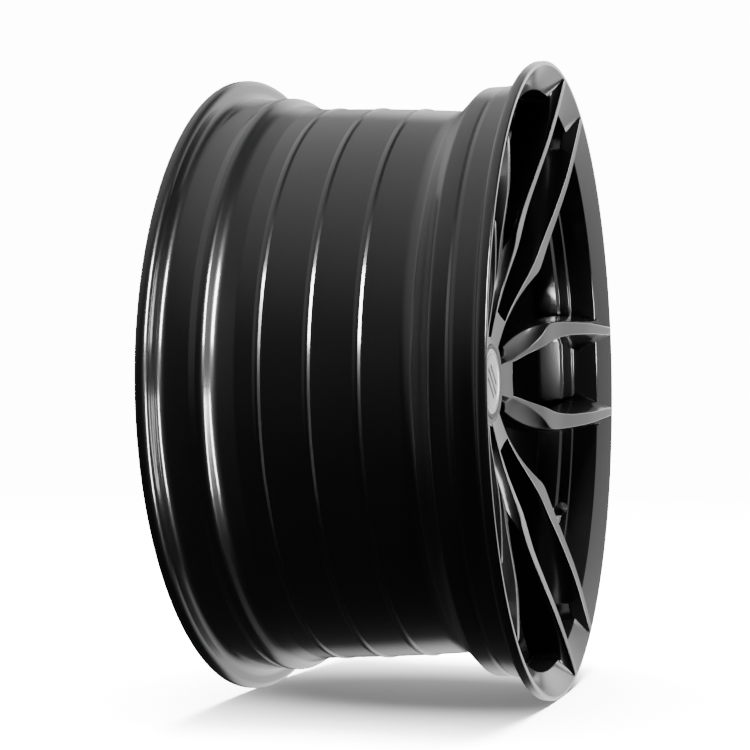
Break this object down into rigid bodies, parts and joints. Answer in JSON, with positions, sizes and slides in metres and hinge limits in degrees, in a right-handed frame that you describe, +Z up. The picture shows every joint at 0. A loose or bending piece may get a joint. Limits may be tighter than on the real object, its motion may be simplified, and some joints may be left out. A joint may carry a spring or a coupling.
{
  "type": "racing wheel rim",
  "caption": "Wide deep-barrel racing wheel rim with slim twin spokes, a bolted hub, a pull-off centre cap and a capped tyre valve.",
  "frame": {"origin": "centre of the hub face, on the axle, where the wheel meets the car's hub", "axes": "+Y along the axle towards the car, so the outboard face looks along -Y; +Z up"},
  "size_m": [0.5473, 0.276, 0.5474],
  "materials": {
    "wheel_black": "gloss black powder coat under clear lacquer",
    "cap_black": "gloss",
    "cap_silver": "brushed under a clear dome",
    "spring_steel": "bright",
    "valve_metal": "satin",
    "valve_black": "black anodised",
    "valve_rubber": "matt",
    "core_brass": "turned",
    "core_white": "matt"
  },
  "bodies": {
    "wheel": {"rim_barrel": "wheel_black", "hub": "wheel_black", "twin_spoke_1": "wheel_black", "twin_spoke_2": "wheel_black", "twin_spoke_3": "wheel_black", "twin_spoke_4": "wheel_black", "twin_spoke_5": "wheel_black", "valve_stem": "valve_metal", "valve_seal": "valve_rubber", "valve_washer": "valve_metal", "valve_nut": "valve_metal", "core_body": "core_brass", "core_seal": "core_white"},
    "centre_cap": {"cap_body": "cap_black", "cap_clip_ring": "spring_steel", "cap_disc": "cap_silver"},
    "core_pin": {"core_pin": "core_brass", "core_spring": "spring_steel", "poppet_seal": "valve_rubber"},
    "valve_cap_seal": {"valve_cap_seal": "valve_rubber"},
    "valve_cap": {"valve_cap": "valve_black"}
  },
  "joints": [
    {"name": "centre_cap_pull", "type": "slide", "parent": "wheel", "child": "centre_cap", "axis": [0, -1, 0], "range_m": [0, 0.03]},
    {"name": "core_pin_press", "type": "slide", "parent": "wheel", "child": "core_pin", "axis": [0.7151, 0.5446, -0.4382], "range_m": [0, 0.001], "stiffness_N_per_m": 300, "springref_m": -0.003, "deforming": ["core_spring"]},
    {"name": "valve_cap_lift", "type": "slide", "parent": "wheel", "child": "valve_cap_seal", "axis": [-0.7151, -0.5446, 0.4382], "range_m": [0, 0.00397]},
    {"name": "valve_cap_turn", "type": "hinge", "parent": "valve_cap_seal", "child": "valve_cap", "pos_m": [0.19145, -0.06384, -0.11732], "axis": [-0.7151, -0.5446, 0.4382], "range_deg": [0, 1800.5]}
  ],
  "couplings": [
    {"joint": "valve_cap_turn", "follows": "valve_cap_lift", "rad_per_m": 7915.8}
  ]
}
